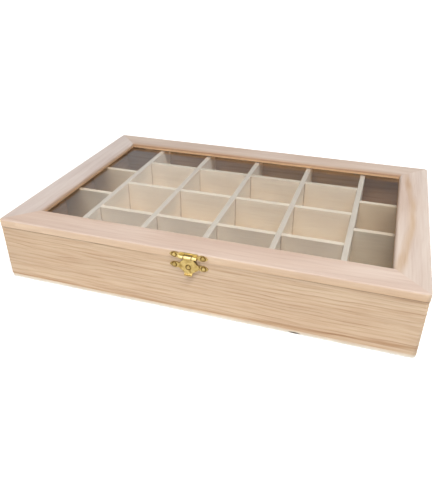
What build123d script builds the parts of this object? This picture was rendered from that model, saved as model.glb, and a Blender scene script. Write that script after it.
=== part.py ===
"""Mineral specimen box: a shallow wooden case, divided into compartments, under a hinged and glazed lid."""

from build123d import *

import os
from math import radians, tan

os.makedirs("parts", exist_ok=True)

# Sizes are in millimetres. The case stands on z = 0 with its middle at x = y = 0.
# Its front, with the clasp, faces -Y. The lid swings on two hinges at the back.

# Lid frame
lid_length = 300.0
lid_depth = 199.0
lid_thickness = 6.0
rail_width = 23.0
lid_corner_radius = 2.5
lid_edge_radius = 1.2
sight_edge_radius = 2.0

# Glass, held from below in a rabbet by glazing points
rabbet_width = 6.0
rabbet_depth = 2.6
glass_thickness = 2.0
glass_play = 0.5
point_radius = 5.0
point_thickness = 0.4
long_side_points = 3
long_side_point_pitch = 90.0
short_side_points = 2
short_side_point_pitch = 80.0

# Case: four mitred boards on a plywood base
case_height = 44.0
lid_overhang = 0.3
wall_thickness = 7.0
body_corner_radius = 2.0
base_thickness = 3.0
base_corner_radius = 3.0

# Dividers, halved over each other where they cross
columns = 6
cross_divider_pitch = 48.0
divider_thickness = 4.0
divider_drop = 0.2
divider_play = 0.1
lap_play = 0.15
lap_gap = 0.2

# Hinges
hinge_spacing = 180.0
hinge_length = 20.0
leaf_reach = 5.5
leaf_thickness = 0.8
recess_play = 0.1
hinge_pin_radius = 0.6
pin_play = 0.05
knuckle_side_play = 0.1
knuckle_swing_play = 0.2
knuckle_setback = 0.25
pin_head_radius = 1.0
pin_head_thickness = 0.4

# Hinge screws
screw_spacing = 12.0
screw_setback = 3.0
screw_head_radius = 1.4
screw_head_angle = 90.0
screw_sink = 0.05
screw_shank_radius = 0.7
screw_length = 4.6
screw_tip_length = 1.0
screw_slot_width = 0.35
screw_slot_depth = 0.3
screw_play = 0.05

# Clasp: an upper plate on the lid, a tongue hinged to it, and a lower plate with a stud on the case
clasp_x = -0.8
sheet_thickness = 0.7
clasp_pin_radius = 0.6
barrel_length = 12.4
tongue_knuckle_length = 5.6
barrel_setback = 0.7
barrel_rise = 2.8
barrel_swing_play = 0.2
upper_plate_drop = 0.6
upper_nail_spacing = 20.4
lower_nail_spacing = 20.8
stud_drop = 5.0
lower_plate_width = 12.8
lower_plate_height = 5.4
lower_plate_corner_radius = 1.0
ear_inner_length = 4.7
ear_outer_length = 3.3
ear_width = 4.2
tongue_shoulder_width = 14.8
tongue_shoulder_top_drop = 3.4
tongue_shoulder_bottom_drop = 5.7
tongue_tab_width = 5.4
tongue_tab_top_drop = 9.4
tongue_lip_drop = 8.9
tongue_corner_radius = 0.8
lip_inner_radius = 1.6
lip_angle = 80.0
stud_neck_radius = 1.25
stud_head_radius = 1.55
stud_head_height = 0.9
stud_tail_radius = 0.7
stud_stand_off = 0.15
stud_hole_play = 0.2

# Clasp nails
nail_head_radius = 1.65
nail_head_height = 0.9
nail_shank_radius = 0.55
nail_length = 5.0
nail_tip_length = 1.2
nail_play = 0.05

# What follows from the sizes above
lid_top = case_height + lid_thickness
sight_length = lid_length - 2 * rail_width
sight_depth = lid_depth - 2 * rail_width
rabbet_length = sight_length + 2 * rabbet_width
rabbet_breadth = sight_depth + 2 * rabbet_width
glass_top = case_height + rabbet_depth
glass_bottom = glass_top - glass_thickness
body_length = lid_length - 2 * lid_overhang
body_depth = lid_depth - 2 * lid_overhang
inner_length = body_length - 2 * wall_thickness
inner_depth = body_depth - 2 * wall_thickness

divider_top = case_height - divider_drop
divider_height = divider_top - base_thickness
divider_middle = base_thickness + divider_height / 2
slot_width = divider_thickness + 2 * lap_play
slot_depth = (divider_height + lap_gap) / 2
column_pitch = (inner_length + divider_thickness) / columns
long_divider_x = [(i + 1 - columns / 2) * column_pitch for i in range(columns - 1)]
cross_divider_y = {"front": -cross_divider_pitch, "middle": 0.0, "back": cross_divider_pitch}
outermost_divider_face = max(long_divider_x) + divider_thickness / 2

knuckle_radius = hinge_pin_radius + pin_play + leaf_thickness
hinge_axis_y = lid_depth / 2 + knuckle_setback + knuckle_radius
knuckle_pitch = hinge_length / 3
knuckle_length = knuckle_pitch - knuckle_side_play
leaf_front_y = body_depth / 2 - leaf_reach
screw_y = body_depth / 2 - screw_setback
hinge_x = {"left": -hinge_spacing / 2, "right": hinge_spacing / 2}
screw_head_depth = (screw_head_radius - screw_shank_radius) / tan(radians(screw_head_angle / 2))

barrel_radius = clasp_pin_radius + pin_play + sheet_thickness
barrel_z = case_height + barrel_rise
upper_nail_z = case_height + lid_thickness / 2
barrel_y = -(lid_depth / 2 + barrel_setback + barrel_radius)
tongue_back_y = barrel_y + barrel_radius
tongue_gap = -body_depth / 2 - sheet_thickness - tongue_back_y
lip_z = case_height - tongue_lip_drop
lip_outer_radius = lip_inner_radius + sheet_thickness
stud_z = case_height - stud_drop
stud_hole_radius = stud_head_radius + stud_hole_play

# Planes on the clasp's middle: facing front on the lid and on the case, and edge-on along X
lid_front = Plane((clasp_x, -lid_depth / 2, 0), x_dir=(1, 0, 0), z_dir=(0, -1, 0))
body_front = Plane((clasp_x, -body_depth / 2, 0), x_dir=(1, 0, 0), z_dir=(0, -1, 0))
clasp_side = Plane((clasp_x, 0, 0), x_dir=(0, 1, 0), z_dir=(1, 0, 0))

glazing_places = [
    (x, side * rabbet_breadth / 2)
    for side in (-1, 1)
    for x in [(i - (long_side_points - 1) / 2) * long_side_point_pitch for i in range(long_side_points)]
] + [
    (side * rabbet_length / 2, y)
    for side in (-1, 1)
    for y in [(i - (short_side_points - 1) / 2) * short_side_point_pitch for i in range(short_side_points)]
]
hinge_screw_places = [
    (x + side * screw_spacing / 2, screw_y) for x in hinge_x.values() for side in (-1, 1)
]
upper_nail_places = [(side * upper_nail_spacing / 2, upper_nail_z) for side in (-1, 1)]
lower_nail_places = [(side * lower_nail_spacing / 2, stud_z) for side in (-1, 1)]


# Diamond-shaped glazing points, half in the rails and half under the glass
with BuildSketch(Plane.XY.offset(glass_bottom)) as point_outlines:
    with Locations(*glazing_places):
        RegularPolygon(radius=point_radius, side_count=4)


def cut_hinge_recesses(rim_y, direction):
    """Cuts recesses and screw holes for the hinge leaves, up or down from the parting plane."""
    with BuildSketch(Plane.XY.offset(case_height)) as recesses:
        with Locations(*[(x, leaf_front_y - recess_play) for x in hinge_x.values()]):
            Rectangle(
                hinge_length + 2 * recess_play,
                rim_y - leaf_front_y + recess_play,
                align=(Align.CENTER, Align.MIN),
            )
    extrude(recesses.sketch, amount=direction * leaf_thickness, mode=Mode.SUBTRACT)
    with BuildSketch(Plane.XY.offset(case_height)) as screw_holes:
        with Locations(*hinge_screw_places):
            Circle(screw_shank_radius + screw_play)
    extrude(screw_holes.sketch, amount=direction * (screw_length + screw_sink), mode=Mode.SUBTRACT)


def cut_nail_holes(face, places):
    """Cuts holes for the clasp's nails into the wood behind a front face."""
    with BuildSketch(face) as holes:
        with Locations(*places):
            Circle(nail_shank_radius + nail_play)
    extrude(holes.sketch, amount=-nail_length, mode=Mode.SUBTRACT)


def cut_mitres(length, depth, outward):
    """Cuts a rectangular frame down to the side that faces outward, mitred at both ends."""
    split(bisect_by=Plane((0, 0, 0), z_dir=outward))
    along = Vector(-outward.Y, outward.X, 0)
    for end in (along, -along):
        corner = outward + end
        origin = (corner.X * length / 2, corner.Y * depth / 2, 0)
        split(bisect_by=Plane(origin, z_dir=outward - end))


# Case walls, made as one frame with their recesses and holes, then mitred apart
with BuildPart() as walls:
    with BuildSketch(Plane.XY.offset(base_thickness)):
        RectangleRounded(body_length, body_depth, body_corner_radius)
        Rectangle(inner_length, inner_depth, mode=Mode.SUBTRACT)
    extrude(amount=case_height - base_thickness)
    cut_hinge_recesses(body_depth / 2, -1)
    cut_nail_holes(body_front, lower_nail_places)

# Lid rails, made the same way
with BuildPart() as lid_frame:
    with BuildSketch(Plane.XY.offset(case_height)):
        RectangleRounded(lid_length, lid_depth, lid_corner_radius)
        Rectangle(sight_length, sight_depth, mode=Mode.SUBTRACT)
    extrude(amount=lid_thickness)
    top_face = faces().sort_by(Axis.Z)[-1]
    fillet(top_face.outer_wire().edges(), radius=lid_edge_radius)
    top_face = faces().sort_by(Axis.Z)[-1]
    fillet(top_face.inner_wires()[0].edges(), radius=sight_edge_radius)
    with BuildSketch(Plane.XY.offset(case_height)):
        Rectangle(rabbet_length, rabbet_breadth)
    extrude(amount=rabbet_depth, mode=Mode.SUBTRACT)
    extrude(point_outlines.sketch, amount=-point_thickness, mode=Mode.SUBTRACT)
    cut_hinge_recesses(lid_depth / 2, 1)
    cut_nail_holes(lid_front, upper_nail_places)

sides = {
    "front": Vector(0, -1, 0),
    "right": Vector(1, 0, 0),
    "back": Vector(0, 1, 0),
    "left": Vector(-1, 0, 0),
}
for side, outward in sides.items():
    with BuildPart() as board:
        add(walls.part)
        cut_mitres(body_length, body_depth, outward)
    board.part.label = f"{side}_board"
    export_step(board.part, f"parts/{side}_board.step")

    with BuildPart() as rail:
        add(lid_frame.part)
        cut_mitres(lid_length, lid_depth, outward)
    rail.part.label = f"lid_{side}_rail"
    export_step(rail.part, f"parts/lid_{side}_rail.step")

# Plywood base under the walls
with BuildPart() as base_panel:
    with BuildSketch():
        RectangleRounded(body_length, body_depth, base_corner_radius)
    extrude(amount=base_thickness)
base_panel.part.label = "base_panel"
export_step(base_panel.part, "parts/base_panel.step")

# Glass pane and the points that hold it
with BuildPart() as glass_pane:
    with BuildSketch(Plane.XY.offset(glass_bottom)):
        Rectangle(rabbet_length - 2 * glass_play, rabbet_breadth - 2 * glass_play)
    extrude(amount=glass_thickness)
glass_pane.part.label = "glass_pane"
export_step(glass_pane.part, "parts/glass_pane.step")

with BuildPart() as glazing_points:
    extrude(point_outlines.sketch, amount=-point_thickness)
glazing_points.part.label = "glazing_points"
export_step(glazing_points.part, "parts/glazing_points.step")

# Long dividers, front to back, slotted from below where the cross dividers pass
for number, x in enumerate(long_divider_x, start=1):
    with BuildPart() as long_divider:
        with BuildSketch(Plane.YZ.offset(x)):
            with Locations((0, divider_middle)):
                Rectangle(inner_depth - 2 * divider_play, divider_height)
            with Locations(*[(y, base_thickness) for y in cross_divider_y.values()]):
                Rectangle(slot_width, slot_depth, align=(Align.CENTER, Align.MIN), mode=Mode.SUBTRACT)
        extrude(amount=divider_thickness / 2, both=True)
    long_divider.part.label = f"long_divider_{number}"
    export_step(long_divider.part, f"parts/long_divider_{number}.step")

# Cross dividers, from one outermost long divider to the other, slotted from above
for place, y in cross_divider_y.items():
    with BuildPart() as cross_divider:
        with BuildSketch(Plane.XZ.offset(-y)):
            with Locations((0, divider_middle)):
                Rectangle(2 * outermost_divider_face, divider_height)
            with Locations(*[(x, divider_top) for x in long_divider_x]):
                Rectangle(slot_width, slot_depth, align=(Align.CENTER, Align.MAX), mode=Mode.SUBTRACT)
        extrude(amount=divider_thickness / 2, both=True)
    cross_divider.part.label = f"cross_divider_{place}"
    export_step(cross_divider.part, f"parts/cross_divider_{place}.step")

# Short dividers across the two outer columns, set halfway between the cross dividers
outer_column_width = inner_length / 2 - outermost_divider_face
outer_column_x = {
    "left": -(outermost_divider_face + outer_column_width / 2),
    "right": outermost_divider_face + outer_column_width / 2,
}
short_divider_y = {"front": -cross_divider_pitch / 2, "back": cross_divider_pitch / 2}
for hand, x in outer_column_x.items():
    for place, y in short_divider_y.items():
        with BuildPart() as short_divider:
            with BuildSketch(Plane.XY.offset(base_thickness)):
                with Locations((x, y)):
                    Rectangle(outer_column_width - 2 * divider_play, divider_thickness)
            extrude(amount=divider_height)
        short_divider.part.label = f"short_divider_{place}_{hand}"
        export_step(short_divider.part, f"parts/short_divider_{place}_{hand}.step")


def hinge_cylinder(x, radius, length, mode):
    """A round bar or bore on the hinge axis, centred at x."""
    with BuildSketch(Plane.YZ.offset(x)) as section:
        with Locations((hinge_axis_y, case_height)):
            Circle(radius)
    extrude(section.sketch, amount=length / 2, both=True, mode=mode)


# Hinges: the lower leaf has the outer knuckles and the upper leaf the middle one
leaves = {
    "lower": (-1, (-knuckle_pitch, knuckle_pitch), (0.0,)),
    "upper": (1, (0.0,), (-knuckle_pitch, knuckle_pitch)),
}
for hand, x in hinge_x.items():
    for level, (direction, own_knuckles, other_knuckles) in leaves.items():
        with BuildPart() as leaf:
            with BuildSketch(Plane.XY.offset(case_height)):
                with Locations((x, leaf_front_y)):
                    Rectangle(
                        hinge_length - knuckle_side_play,
                        hinge_axis_y - leaf_front_y,
                        align=(Align.CENTER, Align.MIN),
                    )
            extrude(amount=direction * leaf_thickness)
            for shift in other_knuckles:
                hinge_cylinder(x + shift, knuckle_radius + knuckle_swing_play, knuckle_pitch, Mode.SUBTRACT)
            for shift in own_knuckles:
                hinge_cylinder(x + shift, knuckle_radius, knuckle_length, Mode.ADD)
            hinge_cylinder(x, hinge_pin_radius + pin_play, hinge_length, Mode.SUBTRACT)
            with Locations(Plane((x, screw_y, case_height), x_dir=(1, 0, 0), z_dir=(0, 0, -direction))):
                with GridLocations(screw_spacing, 0, 2, 1):
                    CounterSinkHole(
                        radius=screw_shank_radius + screw_play,
                        counter_sink_radius=screw_head_radius + screw_play,
                        counter_sink_angle=screw_head_angle,
                    )
        leaf.part.label = f"hinge_{level}_leaf_{hand}"
        export_step(leaf.part, f"parts/hinge_{level}_leaf_{hand}.step")

    with BuildPart() as hinge_pin:
        hinge_cylinder(x, hinge_pin_radius, hinge_length, Mode.ADD)
        for end in (-1, 1):
            head_x = x + end * (hinge_length - knuckle_side_play + pin_head_thickness) / 2
            hinge_cylinder(head_x, pin_head_radius, pin_head_thickness, Mode.ADD)
    hinge_pin.part.label = f"hinge_pin_{hand}"
    export_step(hinge_pin.part, f"parts/hinge_pin_{hand}.step")

# One countersunk screw, its head's top at the origin and its point down
with BuildPart() as hinge_screw:
    with BuildSketch(Plane.XZ):
        with BuildLine():
            Polyline(
                (0, 0),
                (screw_head_radius, 0),
                (screw_shank_radius, -screw_head_depth),
                (screw_shank_radius, screw_tip_length - screw_length),
                (0, -screw_length),
                close=True,
            )
        make_face()
    revolve(axis=Axis.Z)
    with BuildSketch():
        Rectangle(2 * screw_head_radius, screw_slot_width)
    extrude(amount=-screw_slot_depth, mode=Mode.SUBTRACT)

with BuildPart() as lower_hinge_screws:
    with Locations(*[Pos(x, y, case_height - screw_sink) for x, y in hinge_screw_places]):
        add(hinge_screw.part)
lower_hinge_screws.part.label = "lower_hinge_screws"
export_step(lower_hinge_screws.part, "parts/lower_hinge_screws.step")

with BuildPart() as upper_hinge_screws:
    with Locations(*[Location((x, y, case_height + screw_sink), (180, 0, 0)) for x, y in hinge_screw_places]):
        add(hinge_screw.part)
upper_hinge_screws.part.label = "upper_hinge_screws"
export_step(upper_hinge_screws.part, "parts/upper_hinge_screws.step")


def clasp_cylinder(x, radius, length, mode):
    """A round bar or bore on the clasp's barrel axis, centred at x from the clasp's middle."""
    with BuildSketch(clasp_side.offset(x)) as section:
        with Locations((barrel_y, barrel_z)):
            Circle(radius)
    extrude(section.sketch, amount=length / 2, both=True, mode=mode)


# Leaf-shaped ear of a clasp plate, pointing along +X, its nail hole's middle at the origin
with BuildSketch() as ear:
    with BuildLine():
        ThreePointArc((-ear_inner_length, 0), (0, ear_width / 2), (ear_outer_length, 0))
        ThreePointArc((ear_outer_length, 0), (0, -ear_width / 2), (-ear_inner_length, 0))
    make_face()


def clasp_ears(places):
    """The two ears of a clasp plate with their nail holes, left then right."""
    for place, turn in zip(places, (180, 0)):
        with Locations(place):
            add(ear.sketch, rotation=turn)
            Circle(nail_shank_radius + nail_play, mode=Mode.SUBTRACT)


def dome(rim_radius, rim, height):
    """Half the outline of a round dome on the sketch's Y axis, from its rim to its top."""
    sphere_radius = (rim_radius**2 + height**2) / (2 * height)
    RadiusArc((rim_radius, rim), (0, rim + height), -sphere_radius)


# Clasp's upper plate: ears and two rolled knuckles, with a window behind the tongue's knuckle
outer_knuckle_length = (barrel_length - tongue_knuckle_length) / 2 - knuckle_side_play
outer_knuckle_x = (barrel_length - outer_knuckle_length) / 2
with BuildPart() as clasp_upper_plate:
    with BuildSketch(lid_front):
        with Locations((0, barrel_z)):
            Rectangle(
                barrel_length,
                lid_top - upper_plate_drop - barrel_z,
                align=(Align.CENTER, Align.MIN),
            )
            Rectangle(
                tongue_knuckle_length + 2 * knuckle_side_play,
                2 * (barrel_radius + barrel_swing_play),
                mode=Mode.SUBTRACT,
            )
        clasp_ears(upper_nail_places)
    extrude(amount=sheet_thickness)
    # The knuckles are round in front and run straight back to the plate
    with BuildSketch(lid_front):
        with Locations(*[(end * outer_knuckle_x, barrel_z) for end in (-1, 1)]):
            Rectangle(outer_knuckle_length, 2 * barrel_radius)
    extrude(amount=barrel_setback + barrel_radius)
    for end in (-1, 1):
        clasp_cylinder(end * outer_knuckle_x, barrel_radius, outer_knuckle_length, Mode.ADD)
    clasp_cylinder(0, clasp_pin_radius + pin_play, barrel_length, Mode.SUBTRACT)
clasp_upper_plate.part.label = "clasp_upper_plate"
export_step(clasp_upper_plate.part, "parts/clasp_upper_plate.step")

with BuildPart() as clasp_pin:
    clasp_cylinder(0, clasp_pin_radius, barrel_length, Mode.ADD)
clasp_pin.part.label = "clasp_pin"
export_step(clasp_pin.part, "parts/clasp_pin.step")

# Clasp's tongue: its edge-on shape, knuckle to curled lip, kept within its outline from the front
with BuildPart() as clasp_tongue:
    with BuildSketch(clasp_side):
        with Locations((barrel_y, barrel_z)):
            Circle(barrel_radius)
        with BuildLine():
            lip_centre = (tongue_back_y - lip_outer_radius, lip_z)
            outer_lip = CenterArc(lip_centre, lip_outer_radius, 0, -lip_angle)
            inner_lip = CenterArc(lip_centre, lip_inner_radius, 0, -lip_angle)
            Line(outer_lip @ 1, inner_lip @ 1)
            Polyline(
                inner_lip @ 0,
                (tongue_back_y - sheet_thickness, barrel_z),
                (tongue_back_y, barrel_z),
                outer_lip @ 0,
            )
        make_face()
    extrude(amount=tongue_shoulder_width / 2, both=True)
    with BuildSketch(lid_front):
        with BuildLine():
            Polyline(
                (0, barrel_z + barrel_radius),
                (tongue_knuckle_length / 2, barrel_z + barrel_radius),
                (tongue_knuckle_length / 2, barrel_z - barrel_radius - barrel_swing_play),
                (tongue_shoulder_width / 2, case_height - tongue_shoulder_top_drop),
                (tongue_shoulder_width / 2, case_height - tongue_shoulder_bottom_drop),
                (tongue_tab_width / 2, case_height - tongue_tab_top_drop),
                (tongue_tab_width / 2, lip_z - lip_outer_radius),
                (0, lip_z - lip_outer_radius),
            )
            mirror(about=Plane.YZ)
        make_face()
        shoulders = vertices().filter_by_position(
            Axis.Y, case_height - tongue_tab_top_drop, case_height - tongue_shoulder_top_drop
        )
        fillet(shoulders, radius=tongue_corner_radius)
        with Locations((0, stud_z)):
            Circle(stud_hole_radius, mode=Mode.SUBTRACT)
    extrude(amount=2 * lip_outer_radius + 2 * barrel_radius, both=True, mode=Mode.INTERSECT)
    clasp_cylinder(0, clasp_pin_radius + pin_play, tongue_knuckle_length, Mode.SUBTRACT)
clasp_tongue.part.label = "clasp_tongue"
export_step(clasp_tongue.part, "parts/clasp_tongue.step")

# Clasp's lower plate
with BuildPart() as clasp_lower_plate:
    with BuildSketch(body_front):
        with Locations((0, stud_z)):
            RectangleRounded(lower_plate_width, lower_plate_height, lower_plate_corner_radius)
        clasp_ears(lower_nail_places)
        with Locations((0, stud_z)):
            Circle(stud_tail_radius + nail_play, mode=Mode.SUBTRACT)
    extrude(amount=sheet_thickness)
clasp_lower_plate.part.label = "clasp_lower_plate"
export_step(clasp_lower_plate.part, "parts/clasp_lower_plate.step")

# One clasp stud and one clasp nail, each standing on z = 0 at the front of the wood
stud_shoulder = 2 * sheet_thickness + tongue_gap + stud_stand_off
with BuildPart() as stud:
    with BuildSketch(Plane.XZ):
        with BuildLine():
            Polyline(
                (0, stud_shoulder + stud_head_height),
                (0, 0),
                (stud_tail_radius, 0),
                (stud_tail_radius, sheet_thickness),
                (stud_neck_radius, sheet_thickness),
                (stud_neck_radius, stud_shoulder),
                (stud_head_radius, stud_shoulder),
            )
            dome(stud_head_radius, stud_shoulder, stud_head_height)
        make_face()
    revolve(axis=Axis.Z)

with BuildPart() as nail:
    with BuildSketch(Plane.XZ):
        with BuildLine():
            Polyline(
                (0, sheet_thickness + nail_head_height),
                (0, -nail_length),
                (nail_shank_radius, nail_tip_length - nail_length),
                (nail_shank_radius, sheet_thickness),
                (nail_head_radius, sheet_thickness),
            )
            dome(nail_head_radius, sheet_thickness, nail_head_height)
        make_face()
    revolve(axis=Axis.Z)

with BuildPart(body_front) as clasp_stud:
    with Locations((0, stud_z)):
        add(stud.part)
clasp_stud.part.label = "clasp_stud"
export_step(clasp_stud.part, "parts/clasp_stud.step")

with BuildPart(lid_front) as clasp_upper_nails:
    with Locations(*upper_nail_places):
        add(nail.part)
clasp_upper_nails.part.label = "clasp_upper_nails"
export_step(clasp_upper_nails.part, "parts/clasp_upper_nails.step")

with BuildPart(body_front) as clasp_lower_nails:
    with Locations(*lower_nail_places):
        add(nail.part)
clasp_lower_nails.part.label = "clasp_lower_nails"
export_step(clasp_lower_nails.part, "parts/clasp_lower_nails.step")
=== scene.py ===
"""Looks, light and camera for the mineral specimen box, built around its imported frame."""

from math import radians
from types import SimpleNamespace

import bpy
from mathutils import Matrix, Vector


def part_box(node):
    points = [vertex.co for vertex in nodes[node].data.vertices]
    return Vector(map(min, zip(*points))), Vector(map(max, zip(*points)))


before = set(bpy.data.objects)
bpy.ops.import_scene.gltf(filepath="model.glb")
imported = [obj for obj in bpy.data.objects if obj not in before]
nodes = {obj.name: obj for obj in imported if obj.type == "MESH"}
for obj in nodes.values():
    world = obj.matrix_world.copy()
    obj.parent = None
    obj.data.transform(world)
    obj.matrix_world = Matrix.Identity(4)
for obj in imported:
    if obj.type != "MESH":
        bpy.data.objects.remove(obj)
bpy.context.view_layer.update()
scene = bpy.context.scene

MM = 0.001


# ---------------------------------------------------------------- places, taken from the frame


def low(node, axis):
    """Where a node starts along an axis."""
    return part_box(node)[0]["XYZ".index(axis)]


def high(node, axis):
    """Where a node ends along an axis."""
    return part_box(node)[1]["XYZ".index(axis)]


def middle(node, axis):
    """The middle of a node along an axis."""
    return (low(node, axis) + high(node, axis)) / 2


def half(node, axis):
    """Half a node's size along an axis."""
    return (high(node, axis) - low(node, axis)) / 2


LID_TOP = high("lid_back_rail", "Z")
PARTING = low("lid_back_rail", "Z")
GLASS_TOP = high("glass_pane", "Z")
LID_HALF = {"X": high("lid_right_rail", "X"), "Y": high("lid_back_rail", "Y")}
OPENING_HALF = {"X": low("lid_right_rail", "X"), "Y": low("lid_back_rail", "Y")}
INSIDE_HALF = {"X": low("right_board", "X"), "Y": low("back_board", "Y")}
DIVIDER_PITCH = low("long_divider_2", "X") - low("long_divider_1", "X")
DIVIDER_HALF = half("long_divider_1", "X")
OUTER_DIVIDER = middle("long_divider_5", "X")
BASE_FRONT = low("base_panel", "Y")
CLASP_X = middle("clasp_lower_plate", "X")
PIN_LEVEL = middle("clasp_pin", "Z")


# ---------------------------------------------------------------- node helpers


class Graph:
    """A material's or the world's node tree, with short ways to add and link nodes."""

    def __init__(self, owner):
        owner.use_nodes = True
        self.tree = owner.node_tree
        self.tree.nodes.clear()

    def add(self, kind, inputs=(), **settings):
        """Adds a node. Inputs pair a socket's name or number with a value or another node's output."""
        node = self.tree.nodes.new("ShaderNode" + kind)
        for key, value in settings.items():
            setattr(node, key, value)
        for key, value in dict(inputs).items():
            if isinstance(value, bpy.types.NodeSocket):
                self.tree.links.new(value, node.inputs[key])
            else:
                node.inputs[key].default_value = value
        return node

    def math(self, operation, a, b=0.0, c=0.0):
        return self.add("Math", {0: a, 1: b, 2: c}, operation=operation).outputs[0]

    def product(self, first, *others):
        """Several values multiplied together."""
        for value in others:
            first = self.math("MULTIPLY", first, value)
        return first

    def vector(self, operation, a, b=(0, 0, 0)):
        node = self.add("VectorMath", {0: a, 1: b}, operation=operation)
        return node.outputs["Value" if operation in ("LENGTH", "DOT_PRODUCT") else "Vector"]

    def scaled(self, a, factor):
        """A vector times one number."""
        return self.add("VectorMath", {0: a, "Scale": factor}, operation="SCALE").outputs["Vector"]

    def split(self, vector):
        """A vector's parts, under the names X, Y and Z."""
        return self.add("SeparateXYZ", {0: vector}).outputs

    def noise(self, at, scale, detail=2.0, roughness=0.5, output="Fac"):
        inputs = {"Vector": at, "Scale": scale, "Detail": detail, "Roughness": roughness}
        return self.add("TexNoise", inputs).outputs[output]

    def stretched_noise(self, at, along, scale, detail, roughness, output="Fac"):
        """Noise that is stretched along X, where its scale is only the share called along."""
        return self.noise(self.vector("MULTIPLY", at, (along, 1, 1)), scale, detail, roughness, output)

    def span(self, value, start, end, to_start=0.0, to_end=1.0, smooth=False):
        """A value from start to end, brought to another range and kept inside it."""
        inputs = {"Value": value, "From Min": start, "From Max": end, "To Min": to_start, "To Max": to_end}
        kind = "SMOOTHSTEP" if smooth else "LINEAR"
        return self.add("MapRange", inputs, interpolation_type=kind, clamp=True).outputs["Result"]

    def fade(self, value, start, end, smooth=False):
        """One up to start, and down to nothing at end."""
        return self.span(value, start, end, 1.0, 0.0, smooth)

    def mix(self, factor, a, b, blend="MIX"):
        node = self.add("Mix", {0: factor, 6: a, 7: b}, data_type="RGBA", blend_type=blend)
        return node.outputs[2]

    def tint(self, factor, shade, colour):
        """A shade multiplied by a colour, as far as factor says."""
        return self.mix(factor, shade, colour, "MULTIPLY")

    def between(self, factor, a, b):
        """A value between two others."""
        return self.add("Mix", {0: factor, 2: a, 3: b}).outputs[0]

    def mix_shader(self, factor, a, b):
        return self.add("MixShader", {0: factor, 1: a, 2: b}).outputs[0]

    def principled(self, inputs, height, strength, distance):
        """The main shader, with bump from a height."""
        bump = self.add("Bump", {"Height": height, "Strength": strength, "Distance": distance})
        return self.add("BsdfPrincipled", {**inputs, "Normal": bump.outputs[0]}).outputs[0]

    def finish(self, shader, kind="OutputMaterial"):
        self.add(kind, {"Surface": shader})


def rgb(*srgb):
    """A colour written as sRGB levels from 0 to 255, as Blender's linear colour."""
    levels = [v / 255 for v in srgb]
    return tuple(v / 12.92 if v <= 0.04045 else ((v + 0.055) / 1.055) ** 2.4 for v in levels) + (1.0,)


WHITE = (1, 1, 1, 1)


# ---------------------------------------------------------------- wood

ALONG_X = 0.0
ALONG_Y = radians(-90)

# What the rings, fibres and slow changes multiply the wood's colour by
LATE_WOOD = rgb(178, 128, 84)
THREAD = rgb(205, 164, 128)
PATCH = rgb(226, 202, 180)
BAND = rgb(226, 216, 214)
FIBRE = rgb(190, 150, 118)
PORE = rgb(132, 92, 62)


def growth_rings(g, at, ring, wave):
    """The rings' dark lines, the noise that breaks them, and the shift that bends the grain."""
    middle = (0.5, 0.5, 0.5)
    bend = g.vector("SUBTRACT", g.stretched_noise(at, 0.2, 20, 1, 0.4, "Color"), middle)
    ripple = g.vector("SUBTRACT", g.stretched_noise(at, 0.25, 140, 1, 0.5, "Color"), middle)
    shift = g.vector("ADD", g.scaled(bend, 8 * MM * wave), g.scaled(ripple, 2.2 * MM * wave))
    radius = g.vector("LENGTH", g.vector("MULTIPLY", g.vector("ADD", at, shift), (0, 1, 1)))

    # Each ring darkens slowly and ends in a sharper line, which comes and goes, and rings differ
    turns = g.math("MULTIPLY", radius, 1 / ring)
    phase = g.math("FRACT", turns)
    rise = g.math("POWER", g.span(phase, 0.45, 0.86, smooth=True), 2.0)
    fall = g.fade(phase, 0.88, 1.0, smooth=True)
    which = g.add("TexWhiteNoise", {"W": g.math("FLOOR", turns)}, noise_dimensions="1D").outputs["Value"]
    broken = g.stretched_noise(at, 0.16, 170, 1, 0.5)
    line = g.product(rise, fall, g.span(which, 0, 1, 0.35, 1.0), g.span(broken, 0.34, 0.62, 0.2, 1))
    return line, broken, shift


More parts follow.
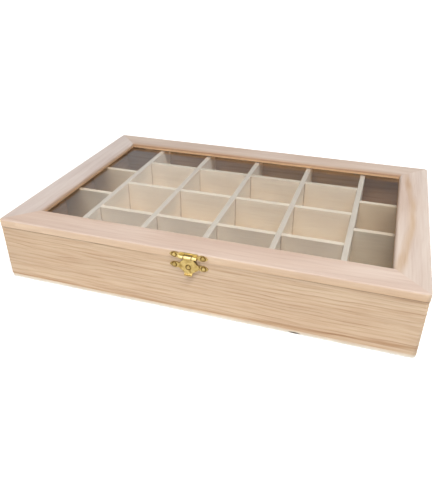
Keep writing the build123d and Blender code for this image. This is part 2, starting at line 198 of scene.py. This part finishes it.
def wood(
    name, face, edge, grain, pith, ring, tilt, lines, seed,
    wave=1.0, mottle=1.0, leaning=(0.55, 0.9), marks=(),
):
    """Raw sanded wood with growth rings about a pith line, fibres, pores and slow changes of colour.

    face and edge are the colours of level faces and of upright ones, and leaning is where a face that
    turns from upright to level starts and ends its change. grain is the direction of the fibres. pith is
    where the middle of the tree lies across them, tilt is its angle to them in degrees, and ring is the
    width of a ring. lines is how strongly the rings show, mottle how strongly patches and bands do, and
    wave how far the grain bends. marks draw on the finished wood, one after another.
    """
    material = bpy.data.materials.new(name)
    g = Graph(material)
    place = g.add("TexCoord").outputs
    turned = g.add("Mapping", {"Vector": place["Object"], "Rotation": (0, 0, grain)}).outputs[0]
    tilted = g.add("Mapping", {"Vector": turned, "Rotation": (0, radians(tilt), 0)}).outputs[0]
    at = g.vector("ADD", tilted, (seed, -pith[0], -pith[1]))
    line, broken, shift = growth_rings(g, at, ring, wave)

    # Threads and fine fibres, pores as short dark dashes, and patches and bands that change slowly
    fibre = g.stretched_noise(at, 0.03, 1300, 3, 0.6)
    thread = g.stretched_noise(at, 0.045, 640, 2, 0.6)
    dash = g.stretched_noise(at, 0.07, 2400, 1, 0.5)
    pore = g.product(g.span(dash, 0.62, 0.72), g.span(line, 0.0, 0.5, 0.35, 1.0))
    patch = g.stretched_noise(at, 0.3, 26, 2, 0.5)
    band = g.stretched_noise(at, 0.12, 110, 1, 0.4)

    level = g.math("ABSOLUTE", g.split(place["Normal"])["Z"])
    shade = g.mix(g.span(level, *leaning), edge, face)
    shade = g.tint(g.product(line, lines), shade, LATE_WOOD)
    shade = g.tint(g.span(thread, 0.42, 0.7, 0.0, 0.7 * lines), shade, THREAD)
    shade = g.tint(g.span(patch, 0.38, 0.62, 0.0, 0.3 * mottle), shade, PATCH)
    shade = g.tint(g.span(band, 0.4, 0.66, 0.0, 0.35 * mottle), shade, BAND)
    shade = g.tint(g.span(fibre, 0.3, 0.7, 0.0, 0.1), shade, FIBRE)
    shade = g.tint(g.product(pore, 0.6 * lines), shade, PORE)

    surface = SimpleNamespace(
        turned=turned,
        shift=shift,
        broken=broken,
        fibre=fibre,
        level=level,
        at=g.split(place["Object"]),
        reach=g.split(g.vector("ABSOLUTE", place["Object"])),
    )
    for mark in marks:
        shade = mark(g, surface, shade)

    height = g.math("SUBTRACT", g.product(fibre, 0.5), g.product(pore, 0.9))
    height = g.math("SUBTRACT", height, g.product(line, 0.35))
    rough = g.span(fibre, 0.25, 0.75, 0.52, 0.66)
    inputs = {"Base Color": shade, "Roughness": rough, "Specular IOR Level": 0.35}
    g.finish(g.principled(inputs, height, 0.35, 0.06 * MM))
    return material


# ---------------------------------------------------------------- marks on the wood

# Each is given the graph, the surface and its shade so far, and gives the new shade. A surface's at is
# its place, and its reach the distance from the box's middle planes and the table. These are the
# colours that the marks mix in or multiply by.

WARMED = rgb(240, 228, 214)
EDGE_SHADE = rgb(216, 198, 180)
EDGE_FACE_LIGHT = rgb(225, 185, 146)
EDGE_DIRT_AND_SHADE = rgb(96, 62, 36)
LIP_SHADE = rgb(241, 233, 221)
SEAM_DIRT_AND_SHADE = rgb(84, 52, 32)
INNER_SHADE_LEFT = rgb(236, 219, 196)
INNER_SHADE_RIGHT = rgb(252, 248, 240)
INNER_SHADE_ENDS = rgb(212, 198, 188)
LAP_SHADE = rgb(150, 120, 94)
OUTWARD_SHADE = rgb(218, 206, 190)


def within(g, reach, limits, start, end):
    """One inside a rectangle with these limits, and down to nothing between start and end outside it."""
    return g.product(*(g.fade(reach[axis], limits[axis] + start, limits[axis] + end) for axis in "XY"))


def streak(across, place, slope, bow, width, strength, colour, ends=1.0):
    """A broad line along the fibres, whose strength falls to the share called ends away from the middle.

    across is the direction that its place is measured in, and slope and bow say how the place changes
    along the fibres.
    """

    def draw(g, surface, shade):
        along = g.split(surface.turned)["X"]
        path = g.math("MULTIPLY_ADD", g.math("MULTIPLY_ADD", along, bow, slope), along, place)
        bent = g.vector("ADD", surface.turned, g.scaled(surface.shift, 0.8))
        away = g.math("ABSOLUTE", g.math("SUBTRACT", g.vector("DOT_PRODUCT", bent, across), path))
        on = g.product(
            g.fade(away, 0.15 * width, width, smooth=True),
            g.span(surface.broken, 0.3, 0.6, 0.5, 1),
            g.span(g.math("ABSOLUTE", along), 60 * MM, 100 * MM, 1.0, ends, smooth=True),
            strength,
        )
        return g.tint(on, shade, colour)

    return draw


def sight_edge(strength):
    """The routed edge round the glass: browner than the top as painted shade, mixed to a lighter orange
    lower down as painted light, and with a line of grime and painted shade at the pane.

    The top of the front and back rails is a little warmer along it.
    """

    def draw(g, surface, shade):
        x, y, z = (surface.reach[axis] for axis in "XYZ")
        beside = g.fade(x, OPENING_HALF["X"], OPENING_HALF["X"] + 4 * MM)
        along = g.fade(y, OPENING_HALF["Y"] + 1.5 * MM, OPENING_HALF["Y"] + 7 * MM)
        shade = g.tint(g.product(beside, strength, along), shade, WARMED)
        rim = g.product(within(g, surface.reach, OPENING_HALF, 1.8 * MM, 2.4 * MM), strength)
        # Painted shade: the edge below its brink is darkened.
        shade = g.tint(g.product(rim, g.fade(z, LID_TOP - 0.6 * MM, LID_TOP)), shade, EDGE_SHADE)
        # Painted light: the upright face lower down is mixed to a lighter orange.
        face_light = g.product(rim, g.fade(z, LID_TOP - 2.1 * MM, LID_TOP - 1.2 * MM))
        shade = g.mix(face_light, shade, EDGE_FACE_LIGHT)
        # A line of grime and painted shade where the edge meets the pane.
        uneven = g.math("MULTIPLY_ADD", surface.fibre, 0.2 * MM, z)
        dirt_and_shade = g.product(rim, g.fade(uneven, GLASS_TOP + 0.3 * MM, GLASS_TOP + 0.47 * MM), 0.8)
        return g.mix(dirt_and_shade, shade, EDGE_DIRT_AND_SHADE)

    return draw


def lip_shade(g, surface, shade):
    """The lid's front and back edges darken a little towards the parting, and more so to the right."""
    on = g.product(
        g.fade(surface.reach["Z"], PARTING, LID_TOP - 0.5 * MM),
        g.span(surface.reach["Y"], LID_HALF["Y"] - 2.5 * MM, LID_HALF["Y"] - 1 * MM),
        g.span(surface.at["X"], -120 * MM, 80 * MM, 0.15, 1.0),
    )
    return g.tint(on, shade, LIP_SHADE)


def seam_dirt_and_shade(g, surface, shade):
    """Grime and painted shade in a thin dark line outside, where lid and case meet, weak in the middle by
    the clasp.
    """
    off = g.math("ABSOLUTE", g.math("SUBTRACT", surface.reach["Z"], PARTING))
    outer = [g.span(surface.reach[a], LID_HALF[a] - 1.2 * MM, LID_HALF[a] - 0.8 * MM) for a in "XY"]
    on = g.product(
        g.fade(off, 0.12 * MM, 0.2 * MM),
        g.math("MAXIMUM", *outer),
        g.span(surface.reach["X"], 45 * MM, 75 * MM, 0.1, 0.85, smooth=True),
    )
    return g.mix(on, shade, SEAM_DIRT_AND_SHADE)


def inner_painted_shade(g, surface, shade):
    """The boards are browner inside than outside as painted shade, least so to the right, and greyer at
    the ends.
    """
    inside = within(g, surface.reach, INSIDE_HALF, 0.1 * MM, 0.6 * MM)
    rightwards = g.span(surface.at["X"], -70 * MM, 25 * MM, smooth=True)
    tint = g.mix(rightwards, INNER_SHADE_LEFT, INNER_SHADE_RIGHT)
    ends = g.span(surface.reach["X"], OUTER_DIVIDER - 2.5 * MM, OUTER_DIVIDER + 3.5 * MM)
    tint = g.mix(ends, tint, INNER_SHADE_ENDS)
    return g.tint(inside, shade, tint)


def lap_shade_lines(g, surface, shade):
    """Thin dark lines of painted shade on a cross divider's sides, where the long dividers pass through
    it.
    """
    away = g.math("PINGPONG", surface.at["X"], DIVIDER_PITCH / 2)
    beside = g.fade(away, DIVIDER_HALF + 0.3 * MM, DIVIDER_HALF + 1 * MM)
    on = g.product(beside, 0.55, g.fade(surface.level, 0.3, 0.6))
    return g.tint(on, shade, LAP_SHADE)


def outward_shade(g, surface, shade):
    """A short divider is darker towards the end board."""
    outwards = g.span(surface.reach["X"], OUTER_DIVIDER + 3.5 * MM, OUTER_DIVIDER + 35.5 * MM)
    return g.tint(outwards, shade, OUTWARD_SHADE)


# ---------------------------------------------------------------- plywood, glass and metal

PLY_TOP = rgb(240, 212, 164)
PLY_FIBRE = rgb(178, 150, 122)
PLY_PATCH = rgb(205, 180, 156)
PLY_EDGE_LOW = rgb(244, 242, 237)
PLY_EDGE_HIGH = rgb(222, 206, 184)
PLY_CORE = rgb(248, 245, 240)
PLY_VOID_SHADE = rgb(58, 40, 28)


def plywood(name, core, void, void_half):
    """Plywood with a warm face veneer. Its edge darkens upwards.

    core is the two levels between which the edge is tinted. void is the middle of the one hollow in the
    front edge, darkened with painted shade, and void_half its half size along each axis.
    """
    material = bpy.data.materials.new(name)
    g = Graph(material)
    place = g.add("TexCoord").outputs
    at = place["Object"]
    wander = g.math("SUBTRACT", g.noise(g.vector("MULTIPLY", at, (1, 1, 0)), 60, 2), 0.5)
    layer_height = g.math("MULTIPLY_ADD", wander, 0.5 * MM, g.split(at)["Z"])
    soft = 0.08 * MM
    in_core = g.product(
        g.span(layer_height, core[0] - soft, core[0] + soft),
        g.fade(layer_height, core[1] - soft, core[1] + soft),
    )
    fibre = g.stretched_noise(at, 0.05, 1400, 3, 0.6)
    patch = g.noise(at, 30, 2)
    level = g.math("ABSOLUTE", g.split(place["Normal"])["Z"])
    edge = g.mix(g.span(layer_height, 0.6 * MM, 2.6 * MM), PLY_EDGE_LOW, PLY_EDGE_HIGH)
    edge = g.tint(in_core, edge, PLY_CORE)
    shade = g.mix(g.span(level, 0.5, 0.9), edge, PLY_TOP)
    shade = g.tint(g.product(g.span(fibre, 0.3, 0.7), 0.2), shade, PLY_FIBRE)
    shade = g.tint(g.span(patch, 0.4, 0.65, 0, 0.2), shade, PLY_PATCH)
    # The hollow is a dent, darkened with painted shade.
    far = g.vector("LENGTH", g.vector("DIVIDE", g.vector("SUBTRACT", at, void), void_half))
    ragged = g.math("MULTIPLY_ADD", fibre, 0.8, far)
    hollow = g.product(g.fade(ragged, 1.0, 1.4), g.fade(level, 0.5, 0.9))
    shade = g.mix(hollow, shade, PLY_VOID_SHADE)
    height = g.math("SUBTRACT", fibre, g.product(hollow, 3.0))
    inputs = {"Base Color": shade, "Roughness": g.span(fibre, 0.3, 0.7, 0.6, 0.75)}
    g.finish(g.principled(inputs, height, 0.4, 0.05 * MM))
    return material


GLASS_TINT = (0.99, 0.992, 0.99, 1)
PASSED_LIGHT = (0.965, 0.967, 0.965, 1)


def glass(name):
    """Clear sheet glass. Lamps and scattered light pass it, so that they reach the compartments."""
    material = bpy.data.materials.new(name)
    g = Graph(material)
    smudge = g.noise(g.add("TexCoord").outputs["Object"], 45, 3, 0.6)
    inputs = {
        "Base Color": GLASS_TINT,
        "Roughness": g.span(smudge, 0.45, 0.75, 0.0, 0.035),
        "IOR": 1.5,
        "Transmission Weight": 1.0,
    }
    pane = g.add("BsdfPrincipled", inputs).outputs[0]
    clear = g.add("BsdfTransparent", {"Color": PASSED_LIGHT}).outputs[0]
    path = g.add("LightPath").outputs
    passes = g.math("MAXIMUM", path["Is Shadow Ray"], path["Is Diffuse Ray"])
    g.finish(g.mix_shader(passes, pane, clear))
    return material


RING_TARNISH_AND_SHADE = rgb(74, 50, 26)
SHEEN_BRASS = rgb(208, 187, 130)
GAP_SHADE = rgb(58, 38, 18)


def ring_round(heads, margin):
    """A ring round each of a node's two round heads, or round the one head that the node is.

    It is given as metal takes it: distance from the clasp's middle line, height and radius.
    """
    radius = half(heads, "Z")
    return half(heads, "X") - radius, middle(heads, "Z"), radius + margin


def metal(name, bright, dull, roughness, scratch, rings=(), painted_sheen=None, gap=None):
    """Plated metal with fine drawn lines and cloudy tarnish, which with painted shade also rings the
    nails.

    Places are measured from the clasp's middle line, alike on both sides, and from the table. Each ring
    of tarnish and painted shade is given by its two distances and its radius. painted_sheen is the
    reach to the sides and the lowest height of a bright zone of painted sheen. gap is the distance, and
    the lowest and highest place, of a dark line of painted shade between knuckles.
    """
    material = bpy.data.materials.new(name)
    g = Graph(material)
    at = g.add("TexCoord").outputs["Object"]
    drawn = g.stretched_noise(at, 0.12, 3800, 3, 0.6)
    cloud = g.noise(at, 420, 3, 0.55)
    tarnish_and_shade = g.span(cloud, 0.42, 0.72, 0.0, 0.8)
    sideways = g.vector("ABSOLUTE", g.vector("SUBTRACT", at, (CLASP_X, 0, 0)))
    flat = g.vector("MULTIPLY", sideways, (1, 0, 1))
    place = g.split(flat)
    # Rings of tarnish and painted shade round the heads.
    for x, z, radius in rings:
        away = g.vector("LENGTH", g.vector("SUBTRACT", flat, (x, 0, z)))
        off = g.math("ABSOLUTE", g.math("SUBTRACT", away, radius))
        off = g.math("MULTIPLY_ADD", cloud, 0.3 * MM, off)
        tarnish_and_shade = g.math("MAXIMUM", tarnish_and_shade, g.span(off, 0.2 * MM, 0.75 * MM, 1.3, 0.0, smooth=True))
    shade = g.mix(g.span(tarnish_and_shade, 0.0, 0.8), bright, dull)
    shade = g.mix(g.span(tarnish_and_shade, 0.8, 1.3, 0.0, 0.85), shade, RING_TARNISH_AND_SHADE)
    # Painted sheen: a brighter zone over the barrel's upper half and the plate above it.
    if painted_sheen:
        reach, lowest = painted_sheen
        zone = g.product(
            g.fade(place["X"], reach, reach + 1 * MM),
            g.span(place["Z"], lowest, lowest + 0.4 * MM),
        )
        shade = g.mix(zone, shade, SHEEN_BRASS)
    # Painted shade: a dark line in the gaps between knuckles.
    if gap:
        distance, lowest, highest = gap
        off = g.math("ABSOLUTE", g.math("SUBTRACT", place["X"], distance))
        line = g.product(
            g.fade(off, 0.22 * MM, 0.42 * MM),
            0.9,
            g.span(place["Z"], lowest, lowest + 0.3 * MM),
            g.fade(place["Z"], highest - 0.3 * MM, highest),
        )
        shade = g.mix(line, shade, GAP_SHADE)
    rough = g.span(tarnish_and_shade, 0.0, 1.3, roughness, roughness + 0.2)
    rough = g.math("ADD", rough, g.span(drawn, 0.3, 0.7, 0, 0.05))
    inputs = {"Base Color": shade, "Metallic": 1.0, "Roughness": rough}
    g.finish(g.principled(inputs, drawn, scratch, 0.02 * MM))
    return material


# ---------------------------------------------------------------- the pieces and their materials


def soften(name, width):
    """Breaks a wooden piece's edges with a small round, as sanding does."""
    weld = nodes[name].modifiers.new("weld", "WELD")
    weld.merge_threshold = 0.001 * MM
    bevel = nodes[name].modifiers.new("round", "BEVEL")
    bevel.width = width
    bevel.segments = 2
    bevel.limit_method = "ANGLE"
    bevel.angle_limit = radians(40)
    bevel.harden_normals = True


def dress(name, material):
    """Gives a piece its one material."""
    nodes[name].data.materials.clear()
    nodes[name].data.materials.append(material)


BOARD_FACE = rgb(222, 198, 174)
BOARD_EDGE = rgb(218, 195, 167)
RAIL_EDGE = rgb(233, 211, 186)
RAIL_LINES = 0.14
TAN = rgb(226, 196, 138)
BROWN = rgb(215, 191, 164)

# Where a streak's place is measured, once the fibres are turned to lie along X. The second is to the
# right, on a piece whose fibres ran from front to back.
UPWARDS = (0, 0, 1)
RIGHTWARDS = (0, -1, 0)

# Each board's grain, pith, width of a ring, tilt, strength of the rings' lines, and seed
boards = {
    "front_board": (ALONG_X, (0.02, -0.08), 1.9 * MM, -0.3, 0.48, 0.19),
    "back_board": (ALONG_X, (0.02, 0.12), 3.6 * MM, 0.4, 0.35, 0.83),
    "left_board": (ALONG_Y, (0.03, -0.06), 3.8 * MM, 0.4, 0.45, 1.47),
    "right_board": (ALONG_Y, (-0.04, 0.10), 3.4 * MM, -0.5, 0.45, 2.21),
}
board_streaks = {
    "front_board": (
        streak(UPWARDS, 5.4 * MM, slope=0.009, bow=0.06, width=1.5 * MM, strength=0.7, colour=BROWN),
        # The second streak is a darker band just below the parting, painted shade under the lid.
        streak(UPWARDS, 40.2 * MM, slope=-0.025, bow=0.253, width=1.8 * MM, strength=0.25, colour=BROWN),
    ),
    "right_board": (
        streak(UPWARDS, 30 * MM, slope=0.01, bow=0.3, width=2.5 * MM, strength=0.4, colour=BROWN),
    ),
}
for name, timber in boards.items():
    marks = (*board_streaks.get(name, ()), inner_painted_shade, seam_dirt_and_shade)
    dress(name, wood(name, BOARD_FACE, BOARD_EDGE, *timber, mottle=0.6, marks=marks))
    soften(name, 0.15 * MM)

# Each rail's face colour, grain, pith, width of a ring, tilt, and seed
rails = {
    "lid_front_rail": (rgb(220, 202, 189), ALONG_X, (-0.16, 0.03), 4.6 * MM, 0.2, 3.17),
    "lid_back_rail": (rgb(210, 194, 181), ALONG_X, (0.03, 0.03), 5.4 * MM, 0.2, 4.31),
    "lid_left_rail": (rgb(213, 201, 194), ALONG_Y, (0.05, 0.03), 5.0 * MM, 0.9, 5.09),
    "lid_right_rail": (rgb(217, 202, 190), ALONG_Y, (-0.10, 0.03), 5.0 * MM, 0.2, 6.73),
}
tan_line = dict(slope=-0.0095, bow=-0.95, width=4.2 * MM, strength=0.45, colour=TAN, ends=0.5)
rail_streaks = {"lid_right_rail": (streak(RIGHTWARDS, 137 * MM, **tan_line),)}
# How strongly the edge round the glass shows its marks, with their painted shade and light, where more
# than a little
sight_edge_strength = {"lid_back_rail": 1.0, "lid_left_rail": 0.65}
for name, (face, grain, pith, ring, tilt, seed) in rails.items():
    marks = (*rail_streaks.get(name, ()), sight_edge(sight_edge_strength.get(name, 0.3)), lip_shade, seam_dirt_and_shade)
    look = dict(wave=2.6, leaning=(0.15, 0.55), marks=marks)
    dress(name, wood(name, face, RAIL_EDGE, grain, pith, ring, tilt, RAIL_LINES, seed, **look))
    soften(name, 0.1 * MM)

# The colours of the dividers' tops and walls. The first row that a name starts with is its own
divider_colours = {
    # The long dividers' walls are nearly white as painted light, for light from the right that their sides
    # lack.
    "long": (rgb(214, 205, 192), rgb(253, 245, 231)),
    "cross_divider_back": (rgb(219, 207, 188), rgb(248, 237, 219)),
    "cross": (rgb(236, 224, 205), rgb(248, 237, 219)),
    "short_divider_front": (rgb(236, 224, 205), rgb(227, 216, 195)),
    "short": (rgb(236, 224, 205), rgb(236, 218, 189)),
}
divider_marks = {"long": (), "cross": (lap_shade_lines,), "short": (outward_shade,)}
dividers = sorted(name for name in nodes if "divider" in name)
for number, name in enumerate(dividers):
    top, wall = next(colours for start, colours in divider_colours.items() if name.startswith(start))
    kind = name.split("_")[0]
    grain = ALONG_Y if kind == "long" else ALONG_X
    look = dict(lines=0.08, seed=7.3 + 0.61 * number, wave=1.2, mottle=0.3, marks=divider_marks[kind])
    dress(name, wood(name, top, wall, grain, pith=(0.3, 0.2), ring=7 * MM, tilt=0.3, **look))
    soften(name, 0.2 * MM)

base_core = (1.1 * MM, 2.0 * MM)
base_void = (72.9 * MM, BASE_FRONT + 0.2 * MM, 1.2 * MM)
base_void_half = (5 * MM, 50 * MM, 0.625 * MM)
dress("base_panel", plywood("base_plywood", base_core, base_void, base_void_half))
dress("glass_pane", glass("glass"))


nail_rings = (
    ring_round("clasp_upper_nails", 0.05 * MM),
    ring_round("clasp_lower_nails", 0.05 * MM),
    ring_round("clasp_stud", 0.2 * MM),
)
painted_sheen_zone = (half("clasp_pin", "X") + 0.3 * MM, PIN_LEVEL - 0.1 * MM)
knuckle_gap = (2.85 * MM, PIN_LEVEL - 1.4 * MM, PIN_LEVEL + 1.5 * MM)
brass = metal(
    "clasp_brass",
    bright=rgb(184, 161, 104),
    dull=rgb(138, 111, 58),
    roughness=0.26,
    scratch=0.4,
    rings=nail_rings,
    painted_sheen=painted_sheen_zone,
    gap=knuckle_gap,
)
hinge_brass = metal("hinge_brass", rgb(214, 178, 102), rgb(170, 132, 66), roughness=0.22, scratch=0.3)
steel = metal("point_steel", rgb(196, 197, 200), rgb(150, 151, 155), roughness=0.25, scratch=0.3)
for name in nodes:
    if name.startswith("clasp"):
        dress(name, brass)
    elif "hinge" in name:
        dress(name, hinge_brass)
dress("glazing_points", steel)


# ---------------------------------------------------------------- floor and light


def backdrop():
    """A pale floor that reads as white round the object and keeps its shadow."""
    bpy.ops.mesh.primitive_plane_add(size=12)
    floor = bpy.context.object
    floor.name = "floor"
    material = bpy.data.materials.new("floor")
    g = Graph(material)
    at = g.add("TexCoord").outputs["Object"]
    path = g.add("LightPath").outputs
    seen = g.math("MAXIMUM", path["Is Camera Ray"], path["Is Glossy Ray"])
    seen = g.math("MAXIMUM", seen, path["Is Transmission Ray"])
    pale = g.mix(g.span(g.noise(at, 40, 2), 0.3, 0.7), rgb(232, 231, 229), rgb(236, 236, 235))
    diffuse = g.add("BsdfDiffuse", {"Color": pale}).outputs[0]
    # The glow is weaker near the object, so that its shadow shows
    lift = g.span(g.vector("LENGTH", at), 0.3, 1.2, 0.5, 1.0, smooth=True)
    glow = g.add("Emission", {"Color": WHITE, "Strength": g.product(seen, lift)}).outputs[0]
    g.finish(g.add("AddShader", {0: diffuse, 1: glow}).outputs[0])
    floor.data.materials.append(material)


def surroundings(ambient, sweep, ceiling, front, left, right):
    """Weak light. The camera sees white, and reflections see a white sweep under a darker room.

    ambient is the light from the sides and from overhead. The room as it is mirrored has one brightness
    overhead, one in front, and others behind to the left and right.
    """
    world = bpy.data.worlds.new("studio")
    scene.world = world
    g = Graph(world)
    path = g.add("LightPath").outputs
    way = g.split(g.add("TexCoord").outputs["Generated"])
    behind = g.span(way["X"], -0.45, -0.15, left, right, smooth=True)
    room = g.between(g.span(way["Y"], -0.3, 0.0, smooth=True), front, behind)
    room = g.between(g.span(way["Z"], 0.72, 0.88, smooth=True), room, ceiling)
    mirrored = g.between(g.span(way["Z"], 0.06, 0.3, smooth=True), sweep, room)
    lighting = g.span(way["Z"], 0.3, 0.95, *ambient, smooth=True)

    # Light that a pane's lower side sends back is mirrored light too, though it leaves through the pane
    bounced = g.math("MINIMUM", path["Glossy Depth"], 1.0)
    through = path["Is Transmission Ray"]
    mirror = g.math("MAXIMUM", path["Is Glossy Ray"], g.product(through, bounced))
    straight = g.product(through, g.math("SUBTRACT", 1.0, bounced))
    white = g.math("MAXIMUM", path["Is Camera Ray"], straight)
    strength = g.math("MAXIMUM", g.between(mirror, lighting, mirrored), white)
    g.finish(g.add("Background", {"Color": WHITE, "Strength": strength}).outputs[0], "OutputWorld")


LIGHT_AIM = (0, 0, 0.03)


def soft_box(name, location, size, power):
    """A large rectangular lamp that faces the object."""
    light = bpy.data.lights.new(name, "AREA")
    light.shape = "RECTANGLE"
    light.size, light.size_y = size
    light.energy = power
    lamp = bpy.data.objects.new(name, light)
    scene.collection.objects.link(lamp)
    lamp.location = location
    lamp.rotation_euler = (Vector(LIGHT_AIM) - Vector(location)).to_track_quat("-Z", "Y").to_euler()


backdrop()
surroundings(ambient=(0.05, 0.06), sweep=1.0, ceiling=0.7, front=0.7, left=0.5, right=0.25)
soft_box("key_box", location=(0.24, -0.5, 1.22), size=(1.9, 0.3), power=25.4)
soft_box("front_box", location=(-0.5, -1.6, 0.2), size=(1.2, 0.2), power=4.6)
soft_box("back_box", location=(0.3, 1.7, 0.2), size=(1.6, 0.2), power=8)


# ---------------------------------------------------------------- camera

# Fitted to the box's corners and straight edges
CAMERA_PLACE = (0.1078, -0.3681, 0.2269)
CAMERA_WAY = (-0.26882, 0.81454, -0.51407)
LENS = 37.66

camera = bpy.data.objects.new("camera", bpy.data.cameras.new("camera"))
scene.collection.objects.link(camera)
camera.location = CAMERA_PLACE
camera.rotation_euler = Vector(CAMERA_WAY).to_track_quat("-Z", "Y").to_euler()
camera.data.lens = LENS
camera.data.clip_start = 0.01
scene.camera = camera

scene.view_settings.view_transform = "Standard"
